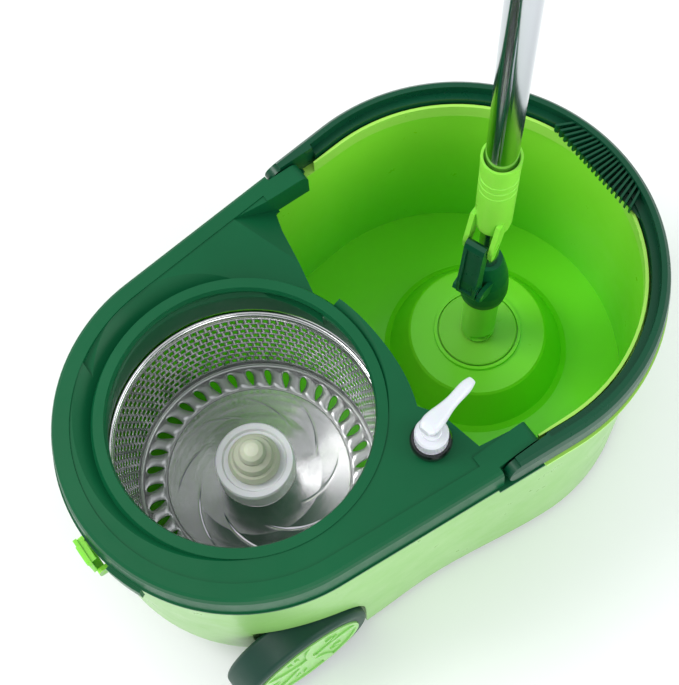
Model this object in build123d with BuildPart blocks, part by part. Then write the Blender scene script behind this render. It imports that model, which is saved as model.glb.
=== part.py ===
from build123d import *
import math
import os

os.makedirs("parts", exist_ok=True)

# ----------------------------------------------------------------------------
# Driving dimensions, millimetres. Origin: middle of the footprint on the floor.
# X runs from the spin basket (-X) to the washing tank (+X), Z is up.
# ----------------------------------------------------------------------------
XB = -104.0            # spin basket axis
XW = XB + 226.6        # washing base and mop axis
CC = 197.6             # distance between the two lobe centres
XT = XB + CC           # tank lobe centre
R1 = 139.0             # basket lobe radius at the rim
R2 = 156.0             # tank lobe radius at the rim
ZTOP = 236.0           # top of the cover
ZFL = 212.0            # top of the bucket's rim flange
WALL = 2.6             # moulded wall
ZBOT = 5.0             # underside of the tank
ZTANK = 22.0           # tank floor
ZCH = 58.0             # floor under the spin basket
XSTEP = XB + 8.0       # front face of the deep tank, behind the wheels

WHEEL_R, WHEEL_X, WHEEL_Z = 59.0, XB - 54.0, 59.0
WHEEL_IN, WHEEL_OUT = 114.0, 142.0
PIN_R = 4.0

BASK_RIM_Z, BASK_FLOOR_Z = 172.0, 77.0
BASK_R_TOP, BASK_R_BOT = 104.5, 98.0

PUMP_X, PUMP_Y = XB + 96.4, -98.4

PIVOT_X, PIVOT_Z = XB + 136.0, 226.0
ARM_Y0, ARM_Y1 = 143.2, 150.5

LEVER_DEG = 200.0      # side of the pole the lock lever faces
LPR, LPZ = 26.0, 196.0   # lever pivot, out from the pole and up
POLE_TOP = 1062.0


def outline(inset, r1=R1, r2=R2, mode=Mode.ADD):
    """Two-lobe plan outline, sketched inside the calling sketch."""
    a, b = r1 - inset, r2 - inset
    ang = math.degrees(math.acos((a - b) / CC))
    ca, sa = math.cos(math.radians(ang)), math.sin(math.radians(ang))
    p1, p2 = (XB + a * ca, a * sa), (XT + b * ca, b * sa)
    q1, q2 = (p1[0], -p1[1]), (p2[0], -p2[1])
    with BuildLine() as edge:
        ThreePointArc(p1, (XB - a, 0), q1)
        Line(q1, q2)
        ThreePointArc(q2, (XT + b, 0), p2)
        Line(p2, p1)
    make_face(edge.edges(), mode=mode)


def waisted(a, b, waist):
    """Body outline with a soft waist between the lobes."""
    ang = math.degrees(math.acos((a - b) / CC))
    ca, sa = math.cos(math.radians(ang)), math.sin(math.radians(ang))
    p1, p2 = (XB + a * ca, a * sa), (XT + b * ca, b * sa)
    dx, dy = p2[0] - p1[0], p2[1] - p1[1]
    mid = (p1[0] + 0.42 * dx, p1[1] + 0.42 * dy - waist)
    with BuildLine() as edge:
        ThreePointArc((p1[0], p1[1]), (XB - a, 0), (p1[0], -p1[1]))
        Spline((p1[0], -p1[1]), (mid[0], -mid[1]), (p2[0], -p2[1]),
               tangents=((dx, -dy), (dx, -dy)))
        ThreePointArc((p2[0], -p2[1]), (XT + b, 0), (p2[0], p2[1]))
        Spline((p2[0], p2[1]), mid, (p1[0], p1[1]), tangents=((-dx, -dy), (-dx, -dy)))
    make_face(edge.edges())


def save(part, name):
    part.label = name
    export_step(part, "parts/%s.step" % name)


def cyl(r, h, pos, axis="z", mode=Mode.ADD):
    """Cylinder from pos, h long along +axis (or -axis for negative h)."""
    rot = {"z": (0, 0, 0), "y": (-90, 0, 0), "x": (0, 90, 0)}[axis]
    if h < 0:
        d = {"z": (0, 0, h), "y": (0, h, 0), "x": (h, 0, 0)}[axis]
        pos = (pos[0] + d[0], pos[1] + d[1], pos[2] + d[2])
        h = -h
    with Locations(Location(pos, rot)):
        Cylinder(r, h, align=(Align.CENTER, Align.CENTER, Align.MIN), mode=mode)


def boxr(x0, x1, y0, y1, z0, z1, mode=Mode.ADD):
    with Locations(((x0 + x1) / 2, (y0 + y1) / 2, (z0 + z1) / 2)):
        Box(x1 - x0, y1 - y0, z1 - z0, mode=mode)


def turned(pts, x, y=0.0, mode=Mode.ADD, arc=360):
    """Ring or turned piece from (radius, z) points about a vertical axis."""
    with BuildSketch(Plane(origin=(x, y, 0), x_dir=(1, 0, 0), z_dir=(0, -1, 0))) as section:
        with BuildLine() as edge:
            Polyline(*pts, close=True)
        make_face(edge.edges())
    revolve(section.sketch, axis=Axis((x, y, 0), (0, 0, 1)), revolution_arc=arc, mode=mode)


def radial(deg, z):
    """Plane through the mop axis facing outward at the given angle."""
    c, n = math.cos(math.radians(deg)), math.sin(math.radians(deg))
    return Plane(origin=(XW, 0, z), x_dir=(-n, c, 0), z_dir=(c, n, 0))


# Side plane of the lever: x is outward from the pole, y is up
_c, _n = math.cos(math.radians(LEVER_DEG)), math.sin(math.radians(LEVER_DEG))
LEVER_PLANE = Plane(origin=(XW, 0, 0), x_dir=(_c, _n, 0), z_dir=(_n, -_c, 0))


# ----------------------------------------------------------------------------
# Bucket body: pale green moulding, deep tank, raised basket chamber,
# wheel wells, hollow washing drum in the tank floor, rim flange and inner lip
# ----------------------------------------------------------------------------
with BuildPart() as cavity:
    with BuildSketch(Plane.XY.offset(ZTANK)):
        waisted(135.0 - WALL, 151.5 - WALL, 4.5)
    with BuildSketch(Plane.XY.offset(188)):
        waisted(136.2 - WALL, 151.0 - WALL, 1.5)
    loft()
    boxr(XB - 200, XSTEP + WALL, -200, 200, 0, ZCH, mode=Mode.SUBTRACT)
    for s in (-1, 1):
        cyl(WHEEL_R + 2.5 + WALL, s * 80, (WHEEL_X, s * (WHEEL_IN - 4 - WALL), WHEEL_Z), "y",
            mode=Mode.SUBTRACT)
        cyl(8.0, s * -15, (WHEEL_X, s * (WHEEL_IN - 4 - WALL + 0.5), WHEEL_Z), "y", mode=Mode.SUBTRACT)
    turned([(0, 10), (80, 10), (80, ZTANK), (75, ZTANK + 3), (59, 58), (57, 60),
            (37.5, 60), (37, 63), (34.4, 63), (34.4, 60), (0, 60)], XW, mode=Mode.SUBTRACT)
    cyl(11, 14, (XB, 0, ZCH - 1), mode=Mode.SUBTRACT)

with BuildPart() as cavity_top:
    with BuildSketch(Plane.XY.offset(188)):
        waisted(136.2 - WALL, 151.0 - WALL, 1.5)
    with BuildSketch(Plane.XY.offset(198)):
        waisted(135.6 - WALL, 151.0 - WALL, 1.2)
    with BuildSketch(Plane.XY.offset(211)):
        waisted(134.0 - WALL, 139.4, 0.8)
    with BuildSketch(Plane.XY.offset(227)):
        waisted(132.4 - WALL, 138.6, 0.8)
    loft(ruled=True)

with BuildPart() as tank_flange:
    with BuildSketch(Plane.XY.offset(ZFL - 3)):
        outline(-3.0)
    extrude(amount=3)
    boxr(XB + 157.5, XB + 400, -200, 200, 200, 220, mode=Mode.INTERSECT)

with BuildPart() as bucket:
    with BuildSketch(Plane.XY.offset(ZBOT)):
        waisted(135.0, 151.5, 5.0)
    with BuildSketch(Plane.XY.offset(ZFL - 3)):
        waisted(136.4, 151.0, 1.0)
    loft()
    # rim flange all round and the raised inner lip round the tank
    with BuildSketch(Plane.XY.offset(ZFL - 3)):
        outline(0.4)
    extrude(amount=3)
    add(tank_flange.part)
    with BuildSketch(Plane.XY.offset(ZFL)):
        outline(14.4)
    with BuildSketch(Plane.XY.offset(226)):
        outline(14.9)
    loft()
    boxr(XB - 200, XB + 163, -200, 200, ZFL, 230, mode=Mode.SUBTRACT)
    # raised floor behind the wheels and the wheel wells
    boxr(XB - 200, XSTEP, -200, 200, 0, ZCH - WALL - 0.4, mode=Mode.SUBTRACT)
    for s in (-1, 1):
        cyl(WHEEL_R + 2.5, s * 80, (WHEEL_X, s * (WHEEL_IN - 4), WHEEL_Z), "y", mode=Mode.SUBTRACT)
        cyl(9.0, s * -16, (WHEEL_X, s * (WHEEL_IN - 0.6), WHEEL_Z), "y")
    # inside, and the hollow underside of the tank and drum
    add(cavity.part, mode=Mode.SUBTRACT)
    add(cavity_top.part, mode=Mode.SUBTRACT)
    with BuildSketch(Plane.XY.offset(ZBOT - 1)) as under:
        waisted(135.0 - WALL, 151.5 - WALL, 4.5)
        with Locations((XSTEP + WALL - 200, 0)):
            Rectangle(400, 500, mode=Mode.SUBTRACT)
    extrude(amount=ZTANK - WALL - ZBOT + 1, mode=Mode.SUBTRACT)
    turned([(0, 4), (76, 4), (76, ZTANK - WALL), (72.5, ZTANK + 1), (56, 56), (55, 57.2), (0, 57.2)],
           XW, mode=Mode.SUBTRACT)
    cyl(9, 14, (XW, 0, 44))
    cyl(PIN_R, 40, (XW, 0, 46), mode=Mode.SUBTRACT)
    # bosses for the rubber feet
    with BuildSketch(Plane.XY.offset(ZBOT)):
        with Locations((XB + 32, 108), (XB + 32, -108), (XB + 292, 78), (XB + 292, -78)):
            Circle(11)
    extrude(amount=ZTANK - WALL - ZBOT + 1)
    # basket spindle boss
    cyl(10, 13, (XB, 0, ZCH - 1))
    cyl(PIN_R, 16, (XB, 0, ZCH - 1), mode=Mode.SUBTRACT)
    # axle pin holes
    for s in (-1, 1):
        cyl(PIN_R, s * 40, (WHEEL_X, s * (WHEEL_IN - 15), WHEEL_Z), "y", mode=Mode.SUBTRACT)
    # latch brackets on the basket end
    for y in (-27.3, 0.0):
        boxr(XB - 145.5, XB - 131.5, y, y + 3.5, 190, 201)
        fillet(bucket.edges().filter_by(Axis.Y).group_by(Axis.X)[0], 3.5)
    cyl(1.65, 40, (XB - 141.5, -29, 196), "y", mode=Mode.SUBTRACT)
save(bucket.part, "bucket_body")

# ----------------------------------------------------------------------------
# Basket cover: dark green, sits on the flange over the basket lobe
# ----------------------------------------------------------------------------
with BuildPart() as keep:
    with BuildSketch(Plane.XY.offset(150)):
        with BuildLine():
            Polyline((XB + 105, -71), (XB + 115, -86), (XB + 122, -121), (XB + 160, -127),
                     (XB + 160, -141.6), (XB + 123.5, -141.6), (XB + 123.5, -200),
                     (XB - 200, -200), (XB - 200, 200), (XB + 123.5, 200), (XB + 123.5, 141.6),
                     (XB + 150, 141.6), (XB + 150, 127.0), (XB + 117, 125.0), (XB + 111.5, 108),
                     (XB + 101, 53))
            Spline((XB + 101, 53), (XB + 112, 20), (XB + 115, -15), (XB + 112, -48), (XB + 105, -71))
        make_face()
    extrude(amount=120)

with BuildPart() as keep_in:
    with BuildSketch(Plane.XY.offset(150)):
        with BuildLine():
            Polyline((XB + 102.6, -71), (XB + 112.4, -87), (XB + 119.4, -122), (XB + 119.4, -134),
                     (XB + 121, -134), (XB + 121, -200), (XB - 200, -200), (XB - 200, 200),
                     (XB + 121, 200), (XB + 121, 134), (XB + 111, 130), (XB + 110.6, 108), (XB + 98.6, 53))
            Spline((XB + 98.6, 53), (XB + 109.6, 20), (XB + 112.6, -15), (XB + 109.6, -48),
                   (XB + 102.6, -71))
        make_face()
    extrude(amount=120)

with BuildPart() as cover_hollow:
    with BuildSketch(Plane.XY.offset(ZFL - 2)):
        outline(2.6)
    with BuildSketch(Plane.XY.offset(ZTOP - 6)):
        outline(4.6)
    with BuildSketch(Plane.XY.offset(ZTOP - 2.6)):
        outline(7.5)
    loft(ruled=True)
    add(keep_in.part, mode=Mode.INTERSECT)

# drain dish between the basket opening and the far rim: it slopes down from the
# rim band towards the opening, and falls away to the tank beside the far shoulder
LINE_A = math.atan2(R2 - R1, CC)
_ca, _sa = math.cos(LINE_A), math.sin(LINE_A)


with BuildPart() as dish_upper:
    for face in (Plane(origin=(XB + 50, 128.0, ZTOP - 1), x_dir=(_ca, _sa, 0),
                       z_dir=(0.25 * _sa, -0.25 * _ca, 1)),
                 Plane(origin=(XB + 84, 0, ZTOP - 1), x_dir=(0, 1, 0), z_dir=(0.62, 0, 1))):
        with BuildSketch(face):
            Rectangle(700, 700)
        extrude(amount=90)
with BuildPart() as dish_lower:
    for face in (Plane(origin=(XB + 50, 128.0, ZTOP - 4.2), x_dir=(_ca, _sa, 0),
                       z_dir=(0.25 * _sa, -0.25 * _ca, 1)),
                 Plane(origin=(XB + 84, 0, ZTOP - 4.2), x_dir=(0, 1, 0), z_dir=(0.62, 0, 1))):
        with BuildSketch(face):
            Rectangle(700, 700)
        extrude(amount=90)
with BuildPart() as pocket_cut:
    with BuildSketch(Plane.XY.offset(190)):
        with BuildLine():
            Polyline((XB - 70, 60), (XB - 70, 160), (XB + 84, 160), (XB + 84, 131.2), (XB + 118, 127.2),
                     (XB + 150, 126.5), (XB + 150, 30), (XB + 96, 30), close=True)
        make_face()
        outline(15.9, mode=Mode.INTERSECT)
    extrude(amount=70)
    add(dish_upper.part, mode=Mode.INTERSECT)
with BuildPart() as pocket_wall:
    with BuildSketch(Plane.XY.offset(190)):
        with BuildLine():
            Polyline((XB - 73, 60), (XB - 73, 160), (XB + 86, 160), (XB + 86, 134.0), (XB + 118, 130.0),
                     (XB + 118, 30), (XB + 94, 30), close=True)
        make_face()
        outline(12.0, mode=Mode.INTERSECT)
    extrude(amount=ZTOP - 1.0 - 190)
    add(keep.part, mode=Mode.INTERSECT)
    add(dish_lower.part, mode=Mode.INTERSECT)

# crescent valley round the far side of the basket opening
VX, VY = XB - 2.0, 10.0
with BuildPart() as valley_wall:
    turned([(90, ZTOP - 22.6), (117.0, ZTOP - 2.2), (117.0, ZTOP - 1), (90, ZTOP - 1)], VX, VY)
    add(keep_in.part, mode=Mode.INTERSECT)
with BuildPart() as valley_cut:
    turned([(90, ZTOP - 19.2), (114.0, ZTOP - 1.0), (115.0, ZTOP), (115.0, ZTOP + 8), (90, ZTOP + 8)], VX, VY)
    with BuildSketch(Plane.XY.offset(150)):
        outline(15.9)
    extrude(amount=120, mode=Mode.INTERSECT)

with BuildPart() as lip:
    with BuildSketch(Plane.XY.offset(ZFL)):
        outline(-1.0)
    extrude(amount=2.2)
    with BuildSketch(Plane.XY.offset(ZFL)):
        outline(11.6)
    extrude(amount=2.2, mode=Mode.SUBTRACT)
    with BuildSketch(Plane.XY.offset(ZFL)):
        outline(-2.8)
        outline(11.6, mode=Mode.SUBTRACT)
        with Locations((XB + 118 - 300, 0)):
            Rectangle(600, 600, mode=Mode.SUBTRACT)
    extrude(amount=2.6)
    boxr(XB + 156, XB + 600, -300, 300, 200, 240, mode=Mode.SUBTRACT)

with BuildPart() as clasp:
    with BuildSketch(Plane.XY.offset(197)):
        with Locations((XB, 0)):
            Circle(142.6)
            Circle(139.8, mode=Mode.SUBTRACT)
    extrude(amount=16)
    with BuildSketch(Plane.XY.offset(190)):
        with BuildLine():
            Polyline((XB, 0), (XB - 190, -42), (XB - 170, -78), close=True)
        make_face()
    extrude(amount=30, mode=Mode.INTERSECT)

with BuildPart() as cover:
    with BuildSketch(Plane.XY.offset(ZFL + 0.0)):
        outline(0.0)
    with BuildSketch(Plane.XY.offset(ZTOP - 5)):
        outline(2.0)
    with BuildSketch(Plane.XY.offset(ZTOP - 1.6)):
        outline(3.4)
    with BuildSketch(Plane.XY.offset(ZTOP)):
        outline(5.6)
    loft(ruled=True)
    add(keep.part, mode=Mode.INTERSECT)
    add(cover_hollow.part, mode=Mode.SUBTRACT)
    # inner deck sits a fine step below the rim band
    with BuildSketch(Plane.XY.offset(ZTOP - 1.0)):
        outline(16.0)
    extrude(amount=3, mode=Mode.SUBTRACT)
    add(pocket_wall.part)
    add(valley_wall.part)
    # shoulders that carry the handle pivots
    for s in (-1, 1):
        inner = 125.0 if s < 0 else 126.2
        boxr(XB + 113, XB + (155 + 5 * -s), min(s * inner, s * 141.6), max(s * inner, s * 141.6), ZFL, ZTOP)
        cyl(9.4, s * 6, (PIVOT_X, s * 135.6, PIVOT_Z), "y")
    fillet(cover.edges().filter_by(Axis.Y).filter_by(
        lambda e: e.center().Z > ZTOP - 0.5 and e.center().X > XB + 148), 7.0)
    add(pocket_cut.part, mode=Mode.SUBTRACT)
    add(valley_cut.part, mode=Mode.SUBTRACT)
    # basket opening with its stepped collar
    cyl(98.5, 60, (XB, 0, 200), mode=Mode.SUBTRACT)
    turned([(97, ZTOP - 4), (98.4, ZTOP), (106, ZTOP), (106, ZTOP - 1.4), (108.6, ZTOP - 6), (108.6, 176),
            (106.2, 176), (106.2, 211), (102.6, 212), (100.5, 226)], XB)
    # thin lower lip, carried under the handle arms
    add(lip.part)
    # clasp beside the latch
    add(clasp.part)
    # pump hole and handle pivot holes
    cyl(11.6, 40, (PUMP_X, PUMP_Y, 215), mode=Mode.SUBTRACT)
    for s in (-1, 1):
        cyl(3.0, s * 12, (PIVOT_X, s * 131, PIVOT_Z), "y", mode=Mode.SUBTRACT)
save(cover.part, "basket_cover")

# ----------------------------------------------------------------------------
# Latch tab at the basket end, hinged on the body's brackets
# ----------------------------------------------------------------------------
with BuildPart() as latch:
    boxr(XB - 147.5, XB - 144.6, -23.4, -0.4, 193, 218)
    fillet(latch.edges().filter_by(Axis.X), 3.5)
    boxr(XB - 146, XB - 140.5, -21.4, -2.4, 214.6, 216.6)
    boxr(XB - 145, XB - 139.0, -23.2, -0.6, 193.6, 199.0)
    for k in range(3):
        boxr(XB - 148.6, XB - 147.4, -19.0, -4.8, 204 + 3.2 * k, 205.4 + 3.2 * k)
    cyl(1.6, 30.4, (XB - 141.5, -27.1, 196), "y")
save(latch.part, "cover_latch")

# ----------------------------------------------------------------------------
# Soap pump: bottle under the cover, ring, collar, head
# ----------------------------------------------------------------------------
with BuildPart() as bottle:
    turned([(0, 128), (15, 128), (17.0, 131), (17.0, 222), (15, 227), (11.2, 230), (11.2, ZTOP + 9),
            (9.8, ZTOP + 9), (9.8, 228.8), (14.0, 226), (15.4, 221), (15.4, 132), (14.4, 129.8),
            (0, 129.8)], PUMP_X, PUMP_Y)
save(bottle.part, "soap_bottle")

with BuildPart() as ring:
    turned([(11.5, ZTOP - 1.0), (14.6, ZTOP - 1.0), (15.3, ZTOP + 2.0), (15.2, ZTOP + 5.6),
            (14.0, ZTOP + 7.8), (12.6, ZTOP + 7.8), (11.5, ZTOP + 6.4)], PUMP_X, PUMP_Y)
save(ring.part, "pump_ring")

with BuildPart() as cap:
    turned([(12.2, ZTOP + 8.1), (12.2, ZTOP + 20.0), (11.0, ZTOP + 22.0), (7.2, ZTOP + 23.0),
            (7.2, ZTOP + 25.4), (6.4, ZTOP + 26.0), (4.4, ZTOP + 26.0), (4.4, ZTOP + 20.4), (10.2, ZTOP + 20.4),
            (10.2, ZTOP + 13), (11.3, ZTOP + 12.0), (11.3, ZTOP + 8.1)], PUMP_X, PUMP_Y)
    with Locations((PUMP_X, PUMP_Y, ZTOP + 14.2)):
        with PolarLocations(12.5, 30):
            Box(1.2, 1.0, 10.0, mode=Mode.SUBTRACT)
save(cap.part, "pump_cap")

with BuildPart() as barrel:
    turned([(4.4, ZTOP + 20.0), (8.5, ZTOP + 20.0), (8.5, ZTOP + 16), (6.6, ZTOP + 16), (6.6, 190), (3.0, 188),
            (3.0, 178), (2.0, 178), (2.0, 190), (5.5, 191.5), (5.5, ZTOP + 18.6), (4.4, ZTOP + 18.6)],
           PUMP_X, PUMP_Y)
save(barrel.part, "pump_cylinder")

with BuildPart() as dip:
    turned([(3.0, 132), (4.0, 132), (4.0, 187), (3.0, 187)], PUMP_X, PUMP_Y)
save(dip.part, "pump_dip_tube")

with BuildPart() as spring:
    with BuildLine() as coil:
        Helix(pitch=3.5, height=35.0, radius=3.6, center=(PUMP_X, PUMP_Y, 192.8))
    with BuildSketch(Plane(origin=coil.line @ 0, z_dir=coil.line % 0)):
        Circle(0.45)
    sweep()
save(spring.part, "pump_spring")

with BuildPart() as head:
    turned([(0, 204), (2.2, 204), (2.2, 229), (5.2, 229), (5.2, 233), (4.2, 234), (4.2, ZTOP + 37),
            (5.2, ZTOP + 37.4), (6.6, ZTOP + 38.4), (7.2, ZTOP + 42), (0, ZTOP + 43)],
           PUMP_X, PUMP_Y)
    nz = Plane(origin=(PUMP_X, PUMP_Y, ZTOP + 42.6),
               x_dir=(math.sin(math.radians(-13)), math.cos(math.radians(-13)), 0),
               z_dir=(math.cos(math.radians(13)), math.sin(math.radians(13)), -0.12))
    with BuildSketch(nz.offset(-9.0)):
        RectangleRounded(8.0, 5.4, 2.4)
    with BuildSketch(nz.offset(-6)):
        RectangleRounded(12.6, 8.6, 3.8)
    with BuildSketch(nz.offset(7)):
        RectangleRounded(13.4, 9.4, 4.2)
    with BuildSketch(nz.offset(26)):
        RectangleRounded(9.0, 7.6, 3.4)
    with BuildSketch(nz.offset(43)):
        RectangleRounded(6.0, 5.6, 2.6)
    loft()
    with BuildSketch(nz.offset(44)):
        Circle(1.5)
    extrude(amount=-26, mode=Mode.SUBTRACT)
save(head.part, "pump_head")

# ----------------------------------------------------------------------------
# Wheels, hub caps, axle pins, feet
# ----------------------------------------------------------------------------
for s, side in ((-1, "near"), (1, "far")):
    with BuildPart() as wheel:
        cyl(WHEEL_R, s * (WHEEL_OUT - WHEEL_IN), (WHEEL_X, s * WHEEL_IN, WHEEL_Z), "y")
        fillet(wheel.edges().filter_by(GeomType.CIRCLE), 4.0)
        cyl(50.0, s * 6, (WHEEL_X, s * (WHEEL_OUT - 3), WHEEL_Z), "y", mode=Mode.SUBTRACT)
        cyl(47.0, s * -22, (WHEEL_X, s * (WHEEL_IN + 20), WHEEL_Z), "y", mode=Mode.SUBTRACT)
        cyl(11.0, s * -21, (WHEEL_X, s * (WHEEL_IN + 21), WHEEL_Z), "y")
        cyl(PIN_R + 0.06, s * -40, (WHEEL_X, s * (WHEEL_OUT - 6), WHEEL_Z), "y", mode=Mode.SUBTRACT)
    save(wheel.part, "wheel_" + side)

    with BuildPart() as hub:
        cyl(49.4, s * 2.6, (WHEEL_X, s * (WHEEL_OUT - 3), WHEEL_Z), "y")
        with BuildSketch(Plane(origin=(WHEEL_X, s * (WHEEL_OUT - 0.4), WHEEL_Z), x_dir=(1, 0, 0),
                               z_dir=(0, s, 0))) as hub_s:
            Circle(49.4)
            Circle(46.6, mode=Mode.SUBTRACT)
            with PolarLocations(0, 5):
                Polygon((7, 2.4), (14, 5.6), (21, 8.0), (28, 9.4), (38, 9.8), (46.2, 9.0), (47.4, 3.4),
                        (47.2, -1.2), (38, 1.0), (28, 1.4), (21, 0.6), (14, -0.8), (7, -2.4), align=None)
            with PolarLocations(31, 5, start_angle=40):
                with GridLocations(0, 7, 1, 2):
                    SlotOverall(7.5, 2.6)
            Circle(9)
        extrude(amount=1.6)
    save(hub.part, "hub_cap_" + side)

with BuildPart() as pins:
    for s in (-1, 1):
        cyl(PIN_R, s * 36, (WHEEL_X, s * (WHEEL_IN - 15), WHEEL_Z), "y")
save(pins.part, "axle_pins")

with BuildPart() as feet:
    with BuildSketch():
        with Locations((XB + 32, 108), (XB + 32, -108), (XB + 292, 78), (XB + 292, -78)):
            Circle(9.5)
    extrude(amount=ZBOT)
    chamfer(feet.faces().filter_by(Axis.Z).group_by(Axis.Z)[0].edges(), 1.0)
save(feet.part, "rubber_feet")

# ----------------------------------------------------------------------------
# Spin basket: perforated stainless shell, slotted floor, hub and spindle
# ----------------------------------------------------------------------------
with BuildPart() as basket:
    turned([(26, 96.6), (31, 95.4), (52, 86), (68, 80.8), (74, 78.6), (75.4, BASK_FLOOR_Z + 0.4),
            (94, BASK_FLOOR_Z + 0.4), (BASK_R_BOT - 0.4, BASK_FLOOR_Z + 3.4), (BASK_R_TOP, BASK_RIM_Z - 1.6),
            (BASK_R_TOP + 1.2, BASK_RIM_Z - 0.6), (BASK_R_TOP + 2.6, BASK_RIM_Z - 0.8),
            (BASK_R_TOP + 3.2, BASK_RIM_Z - 2.4), (BASK_R_TOP + 3.2, BASK_RIM_Z - 4.4),
            (BASK_R_TOP + 4.0, BASK_RIM_Z - 4.4), (BASK_R_TOP + 4.0, BASK_RIM_Z - 1.6),
            (BASK_R_TOP + 3.0, BASK_RIM_Z), (BASK_R_TOP + 0.8, BASK_RIM_Z), (BASK_R_TOP - 0.8, BASK_RIM_Z - 1.4),
            (BASK_R_BOT - 1.2, BASK_FLOOR_Z + 4), (93.4, BASK_FLOOR_Z + 1.2), (76, BASK_FLOOR_Z + 1.2),
            (74.6, 79.6), (68.4, 81.8), (52.4, 86.9), (31.4, 96.3), (26, 97.5)], XB)
    # tapered drain slots round the floor
    with BuildSketch(Plane.XY.offset(BASK_FLOOR_Z - 2)):
        with Locations((XB, 0)):
            with PolarLocations(0, 34):
                Polygon((78.5, 0.4), (80, 1.7), (91.2, 4.6), (93.2, 3.8), (93.6, 0.2), (92.0, -2.0),
                        (80.4, -1.7), align=None)
    extrude(amount=8, mode=Mode.SUBTRACT)
    # perforated wall
    holes = []
    for row in range(6):
        z = 92 + row * 12.5
        for k in range(45):
            a = math.radians(k * 8 + (4 if row % 2 else 0))
            holes.append(Location((XB + 101 * math.cos(a), 101 * math.sin(a), z),
                                  (0, 0, math.degrees(a))))
    with Locations(*holes):
        Box(12, 7.0, 4.4, mode=Mode.SUBTRACT)
save(basket.part, "spin_basket")

with BuildPart() as hub_ring:
    turned([(9.5, 72), (27, 72), (30.4, 76), (30.4, 94.6), (25.6, 96.6), (25.6, 98.6), (31.2, 97.6),
            (31.8, 100), (31.6, 120), (30.4, 122), (26.0, 122), (24.6, 119.4), (13, 118.6), (9.5, 118.6)], XB)
save(hub_ring.part, "basket_hub")

with BuildPart() as nub:
    turned([(0, 104), (9.3, 104), (9.3, 118.8), (18.0, 119.0), (20.4, 121.4), (20.6, 125.6), (18.4, 129.4),
            (16.2, 130.4), (16.4, 133.4), (14.8, 137.4), (12.0, 139.6), (10.8, 140.4), (10.8, 143.0), (9.0, 146.6),
            (5.6, 149.2), (2.6, 150), (0, 150.1)], XB)
save(nub.part, "hub_nub")

with BuildPart() as bush:
    turned([(PIN_R + 0.05, 73), (9.5, 73), (9.5, 103), (PIN_R + 0.05, 103)], XB)
save(bush.part, "basket_bushing")

with BuildPart() as spindle:
    cyl(PIN_R, 42, (XB, 0, ZCH - 1))
    cyl(7.5, 1.5, (XB, 0, 71.0))
save(spindle.part, "basket_spindle")

# ----------------------------------------------------------------------------
# Washing base: turntable on a pin in the drum
# ----------------------------------------------------------------------------
with BuildPart() as wpin:
    cyl(PIN_R, 27, (XW, 0, 46))
save(wpin.part, "wash_pin")

with BuildPart() as turntable:
    turned([(PIN_R + 0.06, 60.5), (33.4, 60.5), (33.4, 63.4), (32.6, 64.2), (10.5, 64.2), (9.4, 65.4),
            (9.0, 80), (7.0, 84), (0, 85.5), (0, 75), (PIN_R + 0.06, 75)], XW)
save(turntable.part, "wash_turntable")

# ----------------------------------------------------------------------------
# Mop: fixed cone and lower tube, turning rod and socket, sliding upper pole
# ----------------------------------------------------------------------------
with BuildPart() as socket:
    turned([(10.2, 66.5), (13.6, 66.5), (14.2, 70), (14.2, 139), (12.5, 144), (6.0, 144), (6.0, 175.4), (3.0, 175.4),
            (3.0, 147), (0, 147), (0, 136), (10.2, 131)], XW)
    with BuildSketch(radial(238, 74.5).offset(11)):
        Ellipse(8.2, 5.8)
    extrude(amount=12, mode=Mode.SUBTRACT)
save(socket.part, "drive_socket")

with BuildPart() as seat:
    turned([(9.9, 87.6), (10.2, 87.6), (10.2, 66.5), (12.9, 66.5), (12.9, 65.1), (9.9, 65.1)], XW)
save(seat.part, "socket_seat")

with BuildPart() as rod:
    cyl(3.0, 473, (XW, 0, 147))
    add(Solid.extrude_linear_with_rotation(
        Face.make_rect(5.0, 3.0, Plane.XY), (0, 0, 0), (0, 0, 230), 1380).locate(Location((XW, 0, 620))))
save(rod.part, "twist_rod")

with BuildPart() as cone:
    turned([(11.2, 145), (16.6, 145), (18.4, 147), (19.4, 155), (19.2, 166), (17.8, 180), (15.2, 193),
            (12.8, 203), (11.6, 207), (8.0, 207), (8.0, 176), (6.6, 176), (6.6, 161.2), (11.2, 161.2)], XW)
    # lever seat on the side of the cone
    for d in (-12.1, 8.7):
        with BuildSketch(LEVER_PLANE.offset(d)):
            with BuildLine():
                Polyline((8, 181), (17, 181), (LPR + 1.6, LPZ - 5.6), (LPR + 4.8, LPZ - 1), (LPR + 3.4, LPZ + 4),
                         (LPR - 3, LPZ + 5), (13, 195), (8, 191), close=True)
            make_face()
        extrude(amount=3.4)
    with BuildSketch(LEVER_PLANE.offset(-13)):
        with Locations((LPR, LPZ)):
            Circle(1.85)
    extrude(amount=26, mode=Mode.SUBTRACT)
    with BuildSketch(LEVER_PLANE.offset(-8.7)):
        with BuildLine():
            Polyline((36, 180), (36, 243), (11.0, 243), (11.0, 226), (11.8, 208), (13.4, 200), (15.4, 190),
                     (20.4, 181), close=True)
        make_face()
    extrude(amount=17.4, mode=Mode.SUBTRACT)
    cyl(8.0, 40, (XW, 0, 176), mode=Mode.SUBTRACT)
save(cone.part, "cone_housing")

with BuildPart() as cring:
    turned([(15.0, 141.4), (16.6, 141.4), (17.6, 142.6), (17.6, 145), (15.0, 145)], XW)
save(cring.part, "cone_ring")

with BuildPart() as bearing:
    turned([(6.05, 145.2), (11.15, 145.2), (11.15, 161), (6.05, 161)], XW)
save(bearing.part, "cone_bearing")

with BuildPart() as ltube:
    turned([(7.0, 176.2), (7.95, 176.2), (7.95, 600), (7.0, 600)], XW)
save(ltube.part, "lower_tube")

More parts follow.
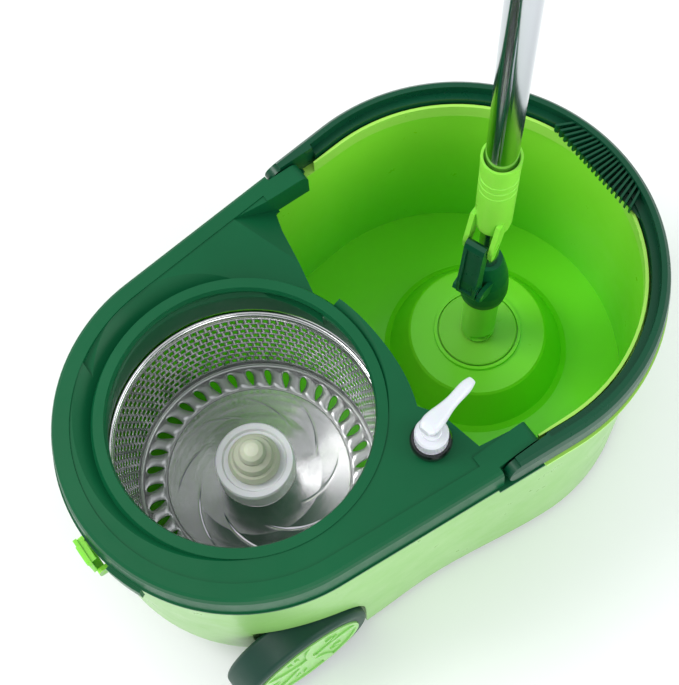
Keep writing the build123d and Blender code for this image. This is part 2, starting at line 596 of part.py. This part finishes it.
with BuildPart() as lever:
    with BuildSketch(LEVER_PLANE.offset(-8.2)):
        with Locations((LPR, LPZ)):
            Circle(5.4)
        Polygon((LPR - 5.2, LPZ), (LPR + 5.4, LPZ), (31.8, 214), (28.2, 238), (25.6, 261), (24.2, 266.6),
                (20.8, 267.6), (18.0, 264.6), (19.2, 240), (21.2, 215), align=None)
    extrude(amount=16.4)
    with BuildSketch(LEVER_PLANE.offset(-5.4)):
        Polygon((30.2, 200), (40, 200), (34, 260), (23.8, 260), (26.2, 238), (29.6, 214), align=None)
    extrude(amount=10.8, mode=Mode.SUBTRACT)
    with BuildSketch(LEVER_PLANE.offset(-9)):
        with Locations((LPR, LPZ)):
            Circle(1.9)
    extrude(amount=18, mode=Mode.SUBTRACT)
save(lever.part, "lock_lever")

with BuildPart() as lpin:
    with BuildSketch(LEVER_PLANE.offset(-12.2)):
        with Locations((LPR, LPZ)):
            Circle(1.85)
    extrude(amount=24.4)
save(lpin.part, "lever_pin")

with BuildPart() as sleeve:
    turned([(8.5, 271), (13.0, 271), (13.8, 277), (14.0, 350), (14.3, 362), (14.3, 366), (12.6, 366), (11.3, 362),
            (11.3, 301), (8.5, 301)], XW)
    for d in (-12.4, 8.8):
        with BuildSketch(LEVER_PLANE.offset(d)):
            with BuildLine():
                Polyline((2.0, 290), (4.0, 273), (9.0, 259), (15.4, 247), (19.2, 248.4), (20.4, 260),
                         (12.6, 290), close=True)
            make_face()
        extrude(amount=3.6)
    for k in range(3):
        with BuildSketch(Plane(origin=(XW, 0, 0), x_dir=(1, 0, 0), z_dir=(0, -1, 0))) as groove:
            with Locations((14.5, 328 + 8 * k)):
                Circle(1.1)
        revolve(groove.sketch, axis=Axis((XW, 0, 0), (0, 0, 1)), revolution_arc=360, mode=Mode.SUBTRACT)
    cyl(11.3, 61, (XW, 0, 301), mode=Mode.SUBTRACT)
save(sleeve.part, "pole_sleeve")

with BuildPart() as utube:
    turned([(10.3, 301.4), (11.25, 301.4), (11.25, 1040), (10.3, 1040)], XW)
save(utube.part, "upper_tube")

with BuildPart() as nut:
    turned([(3.4, 640), (10.25, 640), (10.25, 660), (3.4, 660)], XW)
save(nut.part, "drive_nut")

with BuildPart() as grip:
    turned([(11.3, 900), (13.0, 900), (14.4, 903), (14.6, 940), (13.8, 965), (14.6, 1000), (14.6, 1030),
            (13.6, 1036), (11.3, 1036)], XW)
save(grip.part, "pole_grip")

with BuildPart() as eye:
    turned([(0, 1036.4), (14.2, 1036.4), (14.2, 1041), (12.5, 1046), (0, 1046)], XW)
    with BuildSketch(Plane.XZ.offset(-3.2)):
        with Locations((XW, 1046)):
            SlotCenterToCenter(8, 22, rotation=90)
    extrude(amount=6.4)
    boxr(XW - 20, XW + 20, -20, 20, 1000, 1036.4, mode=Mode.SUBTRACT)
    turned([(11.3, 1036.4), (11.3, 1040.2), (0, 1040.2), (0, 1036.4)], XW, mode=Mode.SUBTRACT)
    with Locations(Location((XW, 0, 1052), (90, 0, 0))):
        Cylinder(5, 20, mode=Mode.SUBTRACT)
save(eye.part, "pole_end_cap")

# ----------------------------------------------------------------------------
# Carry handle: loop folded down on the rim, channel section, ribbed grip
# ----------------------------------------------------------------------------
HZ0, HZ1 = 216.4, 239.0
HLEDGE = 230.6         # inner ledge of the handle
CHORD_X = XB + 327.5   # inner edge of the ribbed grip
FAN_X = XB + 421.0     # the ribs fan from here
with BuildPart() as handle_zone:
    boxr(PIVOT_X + 31, XB + 400, -200, 200, 200, 250)
    for s in (-1, 1):
        boxr(PIVOT_X, PIVOT_X + 33, min(s * ARM_Y0, s * 200), max(s * ARM_Y0, s * 200), 200, 250)
        cyl(9.6, s * 50, (PIVOT_X, s * ARM_Y0, PIVOT_Z), "y")
with BuildPart() as channel:
    with BuildSketch(Plane.XY.offset(200)):
        outline(2.2)
        outline(11.0, mode=Mode.SUBTRACT)
    extrude(amount=HLEDGE - 3 - 200)
    boxr(PIVOT_X + 36, XB + 400, -200, 200, 200, 250, mode=Mode.INTERSECT)
with BuildPart() as grip_zone:
    with BuildSketch(Plane.XY.offset(227.2)):
        outline(4.0)
    extrude(amount=20)
    boxr(CHORD_X, XB + 400, -60, 60, 220, 250, mode=Mode.INTERSECT)

with BuildPart() as ribs:
    with BuildSketch(Plane.XY.offset(227.2)):
        with Locations((FAN_X, 0)):
            with PolarLocations(0, 19, start_angle=180 - 26.5, angular_range=53):
                Polygon((60, -0.75), (130, -1.0), (130, 1.0), (60, 0.75), align=None)
    extrude(amount=HZ1 - 1.8 - 227.2)
    add(grip_zone.part, mode=Mode.INTERSECT)
with BuildPart() as grip_floor:
    with BuildSketch(Plane.XY.offset(227.2)):
        outline(8.0)
    extrude(amount=1.6)
    boxr(CHORD_X + 3.2, XB + 400, -54, 54, 220, 250, mode=Mode.INTERSECT)

with BuildPart() as handle:
    with BuildSketch(Plane.XY.offset(HZ0)):
        outline(-1.6)
    with BuildSketch(Plane.XY.offset(230)):
        outline(-0.8)
    with BuildSketch(Plane.XY.offset(236)):
        outline(0.6)
    with BuildSketch(Plane.XY.offset(HZ1)):
        outline(3.4)
    loft(ruled=True)
    with BuildSketch(Plane.XY.offset(200)):
        outline(13.2)
    extrude(amount=60, mode=Mode.SUBTRACT)
    add(handle_zone.part, mode=Mode.INTERSECT)
    # outer rail with a lower ledge inside it, open underneath
    with BuildSketch(Plane.XY.offset(HLEDGE)):
        outline(7.4)
        Rectangle(2 * (PIVOT_X + 30), 600, mode=Mode.SUBTRACT)
    extrude(amount=20, mode=Mode.SUBTRACT)
    add(channel.part, mode=Mode.SUBTRACT)
    add(grip_floor.part)
    add(ribs.part)
    for s in (-1, 1):
        cyl(3.06, s * 11.4, (PIVOT_X, s * 138, PIVOT_Z), "y", mode=Mode.SUBTRACT)
save(handle.part, "carry_handle")

with BuildPart() as hpins:
    for s in (-1, 1):
        cyl(3.0, s * 18.1, (PIVOT_X, s * 131, PIVOT_Z), "y")
save(hpins.part, "handle_pins")
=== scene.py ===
import math
import random

import bmesh
import bpy
from mathutils import Matrix, Vector


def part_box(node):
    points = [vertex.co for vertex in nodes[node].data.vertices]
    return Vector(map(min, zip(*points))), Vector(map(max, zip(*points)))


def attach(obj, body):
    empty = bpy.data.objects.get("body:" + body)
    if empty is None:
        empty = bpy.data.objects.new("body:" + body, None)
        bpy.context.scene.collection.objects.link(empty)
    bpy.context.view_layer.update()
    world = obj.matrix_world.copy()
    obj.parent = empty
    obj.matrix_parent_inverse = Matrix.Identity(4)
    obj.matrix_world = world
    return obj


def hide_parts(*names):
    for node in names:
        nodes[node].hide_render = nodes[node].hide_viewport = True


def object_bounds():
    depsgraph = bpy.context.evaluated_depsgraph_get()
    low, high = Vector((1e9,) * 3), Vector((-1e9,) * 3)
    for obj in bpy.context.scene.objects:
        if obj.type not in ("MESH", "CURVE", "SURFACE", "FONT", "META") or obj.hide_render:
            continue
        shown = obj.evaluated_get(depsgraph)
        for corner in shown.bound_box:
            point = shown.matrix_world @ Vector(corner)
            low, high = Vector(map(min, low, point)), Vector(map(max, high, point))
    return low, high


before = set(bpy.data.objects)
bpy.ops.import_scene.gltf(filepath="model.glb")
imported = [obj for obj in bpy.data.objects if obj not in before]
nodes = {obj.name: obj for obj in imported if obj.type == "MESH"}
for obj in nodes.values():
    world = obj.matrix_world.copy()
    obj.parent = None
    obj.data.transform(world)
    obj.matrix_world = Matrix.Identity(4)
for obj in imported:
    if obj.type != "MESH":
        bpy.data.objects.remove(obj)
CAD_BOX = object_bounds()
random.seed(7)

scene = bpy.context.scene


def mid(node):
    a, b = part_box(node)
    return Vector([(a[i] + b[i]) / 2 for i in range(3)])


BASK = mid("spin_basket" if "spin_basket" in nodes else "basket_wall")
XB = BASK.x                       # basket axis
XW = mid("wash_turntable").x      # washing base and mop axis
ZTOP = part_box("basket_cover")[1][2]
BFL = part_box("spin_basket")[0][2] + 0.0004          # basket floor
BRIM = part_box("spin_basket")[1][2]                  # basket rim
XT = XB + 0.1976
PUMP = mid("pump_cap")


# --------------------------------------------------------------------------
# materials
# --------------------------------------------------------------------------
def srgb(r, g, b):
    def f(c):
        c /= 255.0
        return c / 12.92 if c <= 0.04045 else ((c + 0.055) / 1.055) ** 2.4
    return (f(r), f(g), f(b), 1.0)


class Mat:
    """Small helper round one node material."""

    def __init__(self, name):
        self.m = bpy.data.materials.new(name)
        self.m.use_nodes = True
        self.t = self.m.node_tree
        self.b = self.t.nodes["Principled BSDF"]
        self.tc = self.t.nodes.new("ShaderNodeTexCoord")

    def n(self, kind, **kw):
        x = self.t.nodes.new(kind)
        for k, v in kw.items():
            setattr(x, k, v)
        return x

    def l(self, a, b):
        self.t.links.new(a, b)

    def noise(self, scale, detail=3.0, rough=0.55, vec=None, dist=0.0):
        x = self.n("ShaderNodeTexNoise")
        x.inputs["Scale"].default_value = scale
        x.inputs["Detail"].default_value = detail
        x.inputs["Roughness"].default_value = rough
        x.inputs["Distortion"].default_value = dist
        self.l(vec or self.tc.outputs["Object"], x.inputs["Vector"])
        return x.outputs["Fac"]

    def remap(self, src, lo, hi, a=0.3, b=0.7):
        x = self.n("ShaderNodeMapRange")
        x.inputs["From Min"].default_value = a
        x.inputs["From Max"].default_value = b
        x.inputs["To Min"].default_value = lo
        x.inputs["To Max"].default_value = hi
        self.l(src, x.inputs["Value"])
        return x.outputs["Result"]

    def mix(self, fac, c1, c2):
        x = self.n("ShaderNodeMix", data_type="RGBA")
        if isinstance(fac, float):
            x.inputs["Factor"].default_value = fac
        else:
            self.l(fac, x.inputs["Factor"])
        for s, c in (("A", c1), ("B", c2)):
            sock = [i for i in x.inputs if i.name == s and i.type == "RGBA"][0]
            if hasattr(c, "links"):
                self.l(c, sock)
            else:
                sock.default_value = c
        return [o for o in x.outputs if o.type == "RGBA"][0]

    def math(self, op, a, b=None):
        x = self.n("ShaderNodeMath", operation=op)
        for i, v in enumerate((a, b)):
            if v is None:
                continue
            if hasattr(v, "links"):
                self.l(v, x.inputs[i])
            else:
                x.inputs[i].default_value = v
        return x.outputs[0]

    def bump(self, heights):
        prev = None
        for h, strength, dist in heights:
            x = self.n("ShaderNodeBump")
            x.inputs["Strength"].default_value = strength
            x.inputs["Distance"].default_value = dist
            self.l(h, x.inputs["Height"])
            if prev is not None:
                self.l(prev, x.inputs["Normal"])
            prev = x.outputs["Normal"]
        self.l(prev, self.b.inputs["Normal"])


def plastic(name, rgb, rough=0.3, tint=0.9, grain=900.0, grain_d=0.00002, coat=0.0, sss=0.0, spread=0.10,
            scuff=0.5, ior=1.46, spec=0.5):
    m = Mat(name)
    c = srgb(*rgb)
    dark = tuple(v * tint for v in c[:3]) + (1.0,)
    m.l(m.mix(m.remap(m.noise(9.0, 4), 0.0, 1.0), c, dark), m.b.inputs["Base Color"])
    m.l(m.remap(m.noise(38.0, 5, 0.65), rough - spread * 0.5, rough + spread), m.b.inputs["Roughness"])
    m.bump([(m.noise(28.0, 2), 0.10 * scuff, 0.0008), (m.noise(grain, 2), 0.35, grain_d)])
    m.b.inputs["IOR"].default_value = ior
    m.b.inputs["Specular IOR Level"].default_value = spec
    if coat:
        m.b.inputs["Coat Weight"].default_value = coat
        m.b.inputs["Coat Roughness"].default_value = 0.08
    if sss:
        m.b.inputs["Subsurface Weight"].default_value = sss
        m.b.inputs["Subsurface Radius"].default_value = (0.4, 1.0, 0.25)
        m.b.inputs["Subsurface Scale"].default_value = 0.006
    return m


def metal(name, rgb, rough, spread=0.08, streak=None, scratch=0.25):
    m = Mat(name)
    m.b.inputs["Metallic"].default_value = 1.0
    c = srgb(*rgb)
    d = tuple(v * 0.82 for v in c[:3]) + (1.0,)
    vec = None
    if streak:
        mp = m.n("ShaderNodeMapping")
        mp.inputs["Scale"].default_value = streak
        m.l(m.tc.outputs["Object"], mp.inputs["Vector"])
        vec = mp.outputs["Vector"]
    m.l(m.mix(m.remap(m.noise(14.0, 3, vec=vec), 0.0, 1.0), c, d), m.b.inputs["Base Color"])
    m.l(m.remap(m.noise(60.0, 5, 0.7, vec=vec), max(0.02, rough - spread * 0.5), rough + spread),
        m.b.inputs["Roughness"])
    m.bump([(m.noise(240.0, 3, vec=vec), scratch, 0.00006)])
    return m


def paint(node, mat):
    o = nodes[node]
    if not o.material_slots:
        o.data.materials.append(mat.m)
    for s in o.material_slots:
        s.material = mat.m


dark_green = plastic("cover_green", (10, 88, 52), rough=0.34, tint=0.88, scuff=0.5, spec=0.22)
handle_green = plastic("handle_green", (6, 72, 46), rough=0.28, tint=0.84, scuff=0.4, spec=0.34)
tyre = plastic("tyre_green", (6, 58, 44), rough=0.42, tint=0.8, grain=1400, grain_d=0.00004, spec=0.4)
lime = plastic("lime_moulding", (140, 224, 70), rough=0.30, coat=0.1, sss=0.25, spec=0.35)
hub_lime = plastic("hub_lime", (150, 208, 116), rough=0.34, coat=0.15, sss=0.2)
white = plastic("white_moulding", (214, 217, 222), rough=0.26, tint=0.96, coat=0.3, sss=0.15)
ivory = plastic("ivory_nub", (226, 230, 206), rough=0.42, tint=0.93, sss=0.3)
black = plastic("black_gloss", (10, 12, 14), rough=0.12, tint=0.7, coat=0.8, scuff=0.3)
bottle = plastic("bottle_natural", (205, 215, 205), rough=0.4, tint=0.94, sss=0.3)
rubber = plastic("foot_rubber", (42, 44, 44), rough=0.7, tint=0.8, grain=1600, grain_d=0.00006)
gripm = plastic("grip_rubber", (20, 84, 56), rough=0.55, tint=0.8, grain=1200, grain_d=0.00008)
nylon = plastic("nylon", (214, 214, 206), rough=0.45, tint=0.94)
steel = metal("turned_steel", (178, 180, 184), 0.28)
chrome = metal("pole_chrome", (214, 217, 222), 0.10, spread=0.06, streak=(1, 1, 0.06), scratch=0.08)
tube = metal("tube_steel", (196, 199, 204), 0.20, streak=(1, 1, 0.1))


def basket_steel(name, rough, aniso):
    """Spun stainless: the grain runs round the basket's own axis."""
    m = metal(name, (224, 224, 224), rough, spread=0.05, scratch=0.05)
    sub = m.n("ShaderNodeVectorMath", operation="SUBTRACT")
    m.l(m.tc.outputs["Object"], sub.inputs[0])
    sub.inputs[1].default_value = (XB, 0, 0)
    cr = m.n("ShaderNodeVectorMath", operation="CROSS_PRODUCT")
    cr.inputs[0].default_value = (0, 0, 1)
    m.l(sub.outputs[0], cr.inputs[1])
    nm = m.n("ShaderNodeVectorMath", operation="NORMALIZE")
    m.l(cr.outputs[0], nm.inputs[0])
    vt = m.n("ShaderNodeVectorTransform", vector_type="VECTOR", convert_from="OBJECT", convert_to="WORLD")
    m.l(nm.outputs[0], vt.inputs[0])
    m.l(vt.outputs[0], m.b.inputs["Tangent"])
    m.b.inputs["Anisotropic"].default_value = aniso
    return m


floor_steel = basket_steel("basket_floor_steel", 0.17, 0.6)
wall_steel = basket_steel("basket_wall_steel", 0.16, 0.4)
rim_steel = basket_steel("basket_rim_steel", 0.14, 0.3)
ring_steel = basket_steel("basket_ring_steel", 0.34, 0.2)
# painted light: a brighter copy of the white moulding, lifted to offset the shade inside the basket
hub_white_painted_light = plastic("hub_white_painted_light", (244, 246, 248), rough=0.3, tint=0.96, sss=0.2)

# bucket body: pale outside; inside the tank and on upward faces a deeper, more saturated lime painted brighter
# towards the top (painted light); bright lip band is a painted highlight
body = plastic("bucket_green", (160, 206, 126), rough=0.32, tint=0.95, coat=0.15, sss=0.0, scuff=0.2,
               grain_d=0.000006)
sep = body.n("ShaderNodeSeparateXYZ")
body.l(body.tc.outputs["Object"], sep.inputs[0])
x_cl = body.n("ShaderNodeClamp")
body.l(sep.outputs["X"], x_cl.inputs["Value"])
x_cl.inputs["Min"].default_value = XB
x_cl.inputs["Max"].default_value = XT
dx = body.math("SUBTRACT", sep.outputs["X"], x_cl.outputs[0])
comb = body.n("ShaderNodeCombineXYZ")
body.l(dx, comb.inputs["X"])
body.l(sep.outputs["Y"], comb.inputs["Y"])
dot = body.n("ShaderNodeVectorMath", operation="DOT_PRODUCT")
body.l(comb.outputs[0], dot.inputs[0])
body.l(body.tc.outputs["Normal"], dot.inputs[1])
# inward-facing and upward-facing faces take the painted-light interior colour
inward = body.math("LESS_THAN", dot.outputs["Value"], -0.004)
sn = body.n("ShaderNodeSeparateXYZ")
body.l(body.tc.outputs["Normal"], sn.inputs[0])
upward = body.math("GREATER_THAN", sn.outputs["Z"], 0.05)
inside = body.math("MAXIMUM", inward, upward)
# painted highlight: a bright band on the lip above z 0.2085
lip = body.math("GREATER_THAN", sep.outputs["Z"], 0.2085)
# painted light: the interior lime is lighter from bottom to top, standing in for light falling on the upper wall
painted_light_interior = body.mix(body.remap(sep.outputs["Z"], 0.0, 1.0, 0.02, 0.21), srgb(122, 230, 30), srgb(160, 242, 66))
outer = body.mix(body.remap(body.noise(9.0, 4), 0.0, 1.0), srgb(142, 196, 106), srgb(133, 187, 98))
c1 = body.mix(inside, outer, painted_light_interior)
c2 = body.mix(lip, c1, srgb(170, 232, 92))
body.l(c2, body.b.inputs["Base Color"])

for n_, mt in {
    "bucket_body": body, "basket_cover": dark_green, "cover_latch": lime, "soap_bottle": bottle, "pump_ring": black,
    "pump_cap": white, "pump_cylinder": white, "pump_dip_tube": nylon, "pump_spring": steel, "pump_head": white,
    "wheel_near": tyre, "wheel_far": tyre, "hub_cap_near": hub_lime, "hub_cap_far": hub_lime, "axle_pins": steel,
    "rubber_feet": rubber, "spin_basket": floor_steel, "basket_floor": floor_steel, "basket_wall": wall_steel,
    "basket_hub": hub_white_painted_light, "hub_nub": ivory, "basket_bushing": nylon,
    "basket_spindle": steel, "wash_pin": steel, "wash_turntable": lime, "drive_socket": lime, "socket_seat": black,
    "twist_rod": steel, "cone_housing": dark_green, "cone_ring": lime, "cone_bearing": steel, "lower_tube": tube,
    "lock_lever": handle_green, "lever_pin": steel, "pole_sleeve": lime, "upper_tube": chrome, "drive_nut": nylon,
    "pole_grip": gripm, "pole_end_cap": lime, "carry_handle": handle_green, "handle_pins": handle_green,
}.items():
    if n_ in nodes:
        paint(n_, mt)

# --------------------------------------------------------------------------
# spin basket: punched wall, slotted ring, swirl-stamped plate, rolled rim
# --------------------------------------------------------------------------
def mesh_piece(name, bm, mats, smooth=True):
    me = bpy.data.meshes.new(name)
    bm.to_mesh(me)
    bm.free()
    for mm in mats:
        me.materials.append(mm.m)
    o = bpy.data.objects.new(name, me)
    scene.collection.objects.link(o)
    for f in me.polygons:
        f.use_smooth = smooth
    return o


def polar(r, a, z):
    return (XB + r * math.cos(a), r * math.sin(a), z)


WALL_LO, WALL_HI = BFL + 0.0036, BRIM - 0.0012
R_LO, R_HI = 0.0972, 0.1041


def wall_r(z):
    return R_LO + (R_HI - R_LO) * (z - WALL_LO) / (WALL_HI - WALL_LO)


def punched_wall():
    bm = bmesh.new()
    cols, rows = 100, 9
    z0, z1 = WALL_LO + 0.0065, WALL_HI - 0.0075
    dz = (z1 - z0) / rows
    da = 2 * math.pi / (2 * cols)
    cache = {}

    def vert(ia, z):
        k = (ia % (2 * cols), round(z * 1e6))
        if k not in cache:
            cache[k] = bm.verts.new(polar(wall_r(z), ia * da, z))
        return cache[k]

    for row in range(rows):
        zb, zt = z0 + row * dz, z0 + (row + 1) * dz
        zc = (zb + zt) / 2
        for c in range(cols):
            i = 2 * c + (row % 2)
            edge = [vert(i, zb), vert(i + 1, zb), vert(i + 2, zb), None, vert(i + 2, zt), vert(i + 1, zt),
                    vert(i, zt), None]
            ac = (i + 1) * da
            w, h = 0.00215 / R_HI, 0.0031
            hole = []
            for fa, fz in ((-.72, -.9), (0, -1), (.72, -.9), (1, 0), (.72, .9), (0, 1), (-.72, .9), (-1, 0)):
                z = zc + fz * h
                hole.append(bm.verts.new(polar(wall_r(z), ac + fa * w, z)))
            bm.faces.new((edge[0], edge[1], hole[1], hole[0]))
            bm.faces.new((edge[1], edge[2], hole[2], hole[1]))
            bm.faces.new((edge[2], edge[4], hole[4], hole[3], hole[2]))
            bm.faces.new((edge[4], edge[5], hole[5], hole[4]))
            bm.faces.new((edge[5], edge[6], hole[6], hole[5]))
            bm.faces.new((edge[6], edge[0], hole[0], hole[7], hole[6]))
    for za, zb in ((WALL_LO - 0.0006, z0), (z1, WALL_HI)):
        for i in range(2 * cols):
            bm.faces.new((vert(i, za), vert(i + 1, za), vert(i + 1, zb), vert(i, zb)))
    bmesh.ops.recalc_face_normals(bm, faces=bm.faces)
    return mesh_piece("basket_punched_wall", bm, [wall_steel])


def slotted_ring():
    bm = bmesh.new()
    n = 36
    seg = 2 * math.pi / n
    r0, r1 = 0.0765, 0.0946
    # slot outline in (radius, angle) of one sector, skewed and rounded at both ends
    outline_pts = []
    for k in range(16):
        t = 2 * math.pi * k / 16
        rr = 0.0856 + 0.0076 * math.cos(t)
        half = 0.0030 + 0.0011 * math.cos(t)
        an = (math.sin(t) * half) / 0.0858 + 0.022 * math.cos(t)
        outline_pts.append((rr, an))
    border = []
    for k in range(16):
        t = 2 * math.pi * k / 16
        c, q = math.cos(t), math.sin(t)
        f = 1 / max(abs(c), abs(q))
        border.append(((r0 + r1) / 2 + (r1 - r0) / 2 * c * f, 0.5 * seg * q * f))
    cache = {}

    def bv(r, an):
        k = (round(r * 1e6), round((an % (2 * math.pi)) * 1e5) % round(2 * math.pi * 1e5))
        if k not in cache:
            cache[k] = bm.verts.new(polar(r, an, BFL + 0.0004))
        return cache[k]

    for sct in range(n):
        a0 = sct * seg
        outer = [bv(r, a0 + an) for r, an in border]
        inner = [bm.verts.new(polar(r, a0 + an, BFL + 0.0004)) for r, an in outline_pts]
        lip = [bm.verts.new(polar(r + (0.0858 - r) * 0.12, a0 + an * 0.94, BFL - 0.0004)) for r, an in outline_pts]
        for k in range(16):
            j = (k + 1) % 16
            bm.faces.new((outer[k], outer[j], inner[j], inner[k]))
            bm.faces.new((inner[k], inner[j], lip[j], lip[k]))
    bmesh.ops.remove_doubles(bm, verts=bm.verts, dist=2e-5)
    # coved step up to the wall and down to the plate
    ra = [(0.0946, BFL + 0.0004), (0.0957, BFL + 0.0006), (0.0966, BFL + 0.0014), (0.0971, BFL + 0.0030)]
    rb = [(0.0765, BFL + 0.0004), (0.0756, BFL + 0.0001), (0.0752, BFL - 0.0004), (0.0750, BFL + 0.0012),
          (0.0744, BFL + 0.0024)]
    N = 288
    for prof in (ra, rb):
        rings = [[bm.verts.new(polar(r, 2 * math.pi * i / N, z)) for i in range(N)] for r, z in prof]
        for p, q in zip(rings, rings[1:]):
            for i in range(N):
                bm.faces.new((p[i], p[(i + 1) % N], q[(i + 1) % N], q[i]))
    bmesh.ops.recalc_face_normals(bm, faces=bm.faces)
    return mesh_piece("basket_slotted_ring", bm, [ring_steel])


def swirl_plate():
    bm = bmesh.new()
    N, M = 720, 74
    prof = [(0.0745, BFL + 0.0024), (0.0700, BFL + 0.0038), (0.0620, BFL + 0.0062), (0.0520, BFL + 0.0094),
            (0.0420, BFL + 0.0138), (0.0310, BFL + 0.0188), (0.0262, BFL + 0.0200)]

    def height(r):
        for (ra, za), (rb, zb) in zip(prof, prof[1:]):
            if rb <= r <= ra:
                t = (ra - r) / (ra - rb)
                return za + (zb - za) * t
        return prof[-1][1]

    arms = 8
    rings = []
    for k in range(M):
        r = 0.0745 - (0.0745 - 0.0262) * k / (M - 1)
        row = []
        for i in range(N):
            a_ = 2 * math.pi * i / N
            u = (r - 0.036) / (0.067 - 0.036)
            z = height(r)
            if -0.1 < u < 1.1:
                ramp = max(0.0, min(1.0, 4 * (u - 0.25))) * max(0.0, min(1.0, 5 * (1.1 - u)))
                centre = 1.15 * u ** 1.0 if u > 0 else 1.15 * u
                d = (a_ - centre) % (2 * math.pi / arms)
                d = min(d, 2 * math.pi / arms - d) * r
                z += 0.0005 * ramp * math.exp(-(d / 0.0011) ** 2)
            row.append(bm.verts.new(polar(r, a_, z)))
        rings.append(row)
    for p, q in zip(rings, rings[1:]):
        for i in range(N):
            bm.faces.new((p[i], p[(i + 1) % N], q[(i + 1) % N], q[i]))
    bmesh.ops.recalc_face_normals(bm, faces=bm.faces)
    return mesh_piece("basket_swirl_plate", bm, [floor_steel])


def rolled_rim():
    bm = bmesh.new()
    N = 256
    z = BRIM
    prof = [(0.1041, z - 0.0016), (0.1044, z - 0.0007), (0.1051, z - 0.0001), (0.1062, z), (0.1073, z - 0.0001),
            (0.1081, z - 0.0009), (0.1085, z - 0.0020), (0.1083, z - 0.0034), (0.1076, z - 0.0043),
            (0.1070, z - 0.0040)]
    rings = [[bm.verts.new(polar(r, 2 * math.pi * i / N, h)) for i in range(N)] for r, h in prof]
    for p, q in zip(rings, rings[1:]):
        for i in range(N):
            bm.faces.new((p[i], p[(i + 1) % N], q[(i + 1) % N], q[i]))
    bmesh.ops.recalc_face_normals(bm, faces=bm.faces)
    return mesh_piece("basket_rolled_rim", bm, [rim_steel])


def thicken(o, t, off):
    md = o.modifiers.new("sheet", "SOLIDIFY")
    md.thickness = t
    md.offset = off
    md.use_even_offset = False


wall_o, ring_o, plate_o, rim_o = punched_wall(), slotted_ring(), swirl_plate(), rolled_rim()
thicken(wall_o, 0.0007, 0)
thicken(ring_o, 0.0005, 0)
thicken(plate_o, 0.0006, 0)
thicken(rim_o, 0.0005, 0)
for o_ in (wall_o, ring_o, plate_o, rim_o):
    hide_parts("spin_basket")
    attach(o_, "basket")

# --------------------------------------------------------------------------
# floor, light, camera
# --------------------------------------------------------------------------
bpy.ops.mesh.primitive_plane_add(size=40, location=(0, 0, CAD_BOX[0][2] - 0.0002))
floor = bpy.context.object
floor.name = "studio_floor"
fm = Mat("studio_floor")
fm.l(fm.mix(fm.remap(fm.noise(3.0, 2), 0.0, 1.0), (0.93, 0.93, 0.93, 1), (0.90, 0.90, 0.90, 1)),
     fm.b.inputs["Base Color"])
fm.b.inputs["Roughness"].default_value = 0.85
fm.b.inputs["Specular IOR Level"].default_value = 0.1
floor.data.materials.append(fm.m)

world = bpy.data.worlds.new("studio")
scene.world = world
world.use_nodes = True
world.node_tree.nodes["Background"].inputs[0].default_value = (0.94, 0.97, 1.0, 1)
world.node_tree.nodes["Background"].inputs[1].default_value = 0.85


def area(name, loc, target, size, power, color=(1, 1, 1), size_y=None):
    d = bpy.data.lights.new(name, "AREA")
    d.energy = power
    d.color = color
    d.size = size
    if size_y:
        d.shape = "RECTANGLE"
        d.size_y = size_y
    o = bpy.data.objects.new(name, d)
    scene.collection.objects.link(o)
    o.location = loc
    o.rotation_euler = (Vector(target) - Vector(loc)).to_track_quat("-Z", "Y").to_euler()
    return o


area("key", (-1.1, 0.9, 1.9), (0, 0, 0.15), 1.0, 26)
area("fill", (1.3, -1.3, 1.3), (0, 0, 0.15), 1.2, 12, (0.96, 0.98, 1.0))
area("front", (-0.6, -1.7, 0.7), (0, 0, 0.1), 0.9, 8)

cam_data = bpy.data.cameras.new("camera")
cam = bpy.data.objects.new("camera", cam_data)
scene.collection.objects.link(cam)
cam_data.sensor_fit = "HORIZONTAL"
cam_data.sensor_width = 36
F_PX, ELEV, AZ, ROLL = 1441.31, 68.28, -30.94, -5.43
POS = Vector((-0.11048 + XB, -0.33137, 0.97388 + ZTOP))
cam_data.lens = F_PX / 679 * 36
cam_data.clip_start = 0.01
e, a, r = math.radians(ELEV), math.radians(AZ), math.radians(ROLL)
back = Vector((math.sin(a) * math.cos(e), -math.cos(a) * math.cos(e), math.sin(e)))
right0 = Vector((math.cos(a), math.sin(a), 0))
up0 = right0.cross(-back)
R = math.cos(r) * right0 + math.sin(r) * up0
U = -math.sin(r) * right0 + math.cos(r) * up0
cam.matrix_world = Matrix(((R.x, U.x, back.x, POS.x), (R.y, U.y, back.y, POS.y), (R.z, U.z, back.z, POS.z),
                           (0, 0, 0, 1)))
scene.camera = cam
scene.view_settings.view_transform = "Standard"
scene.view_settings.look = "None"
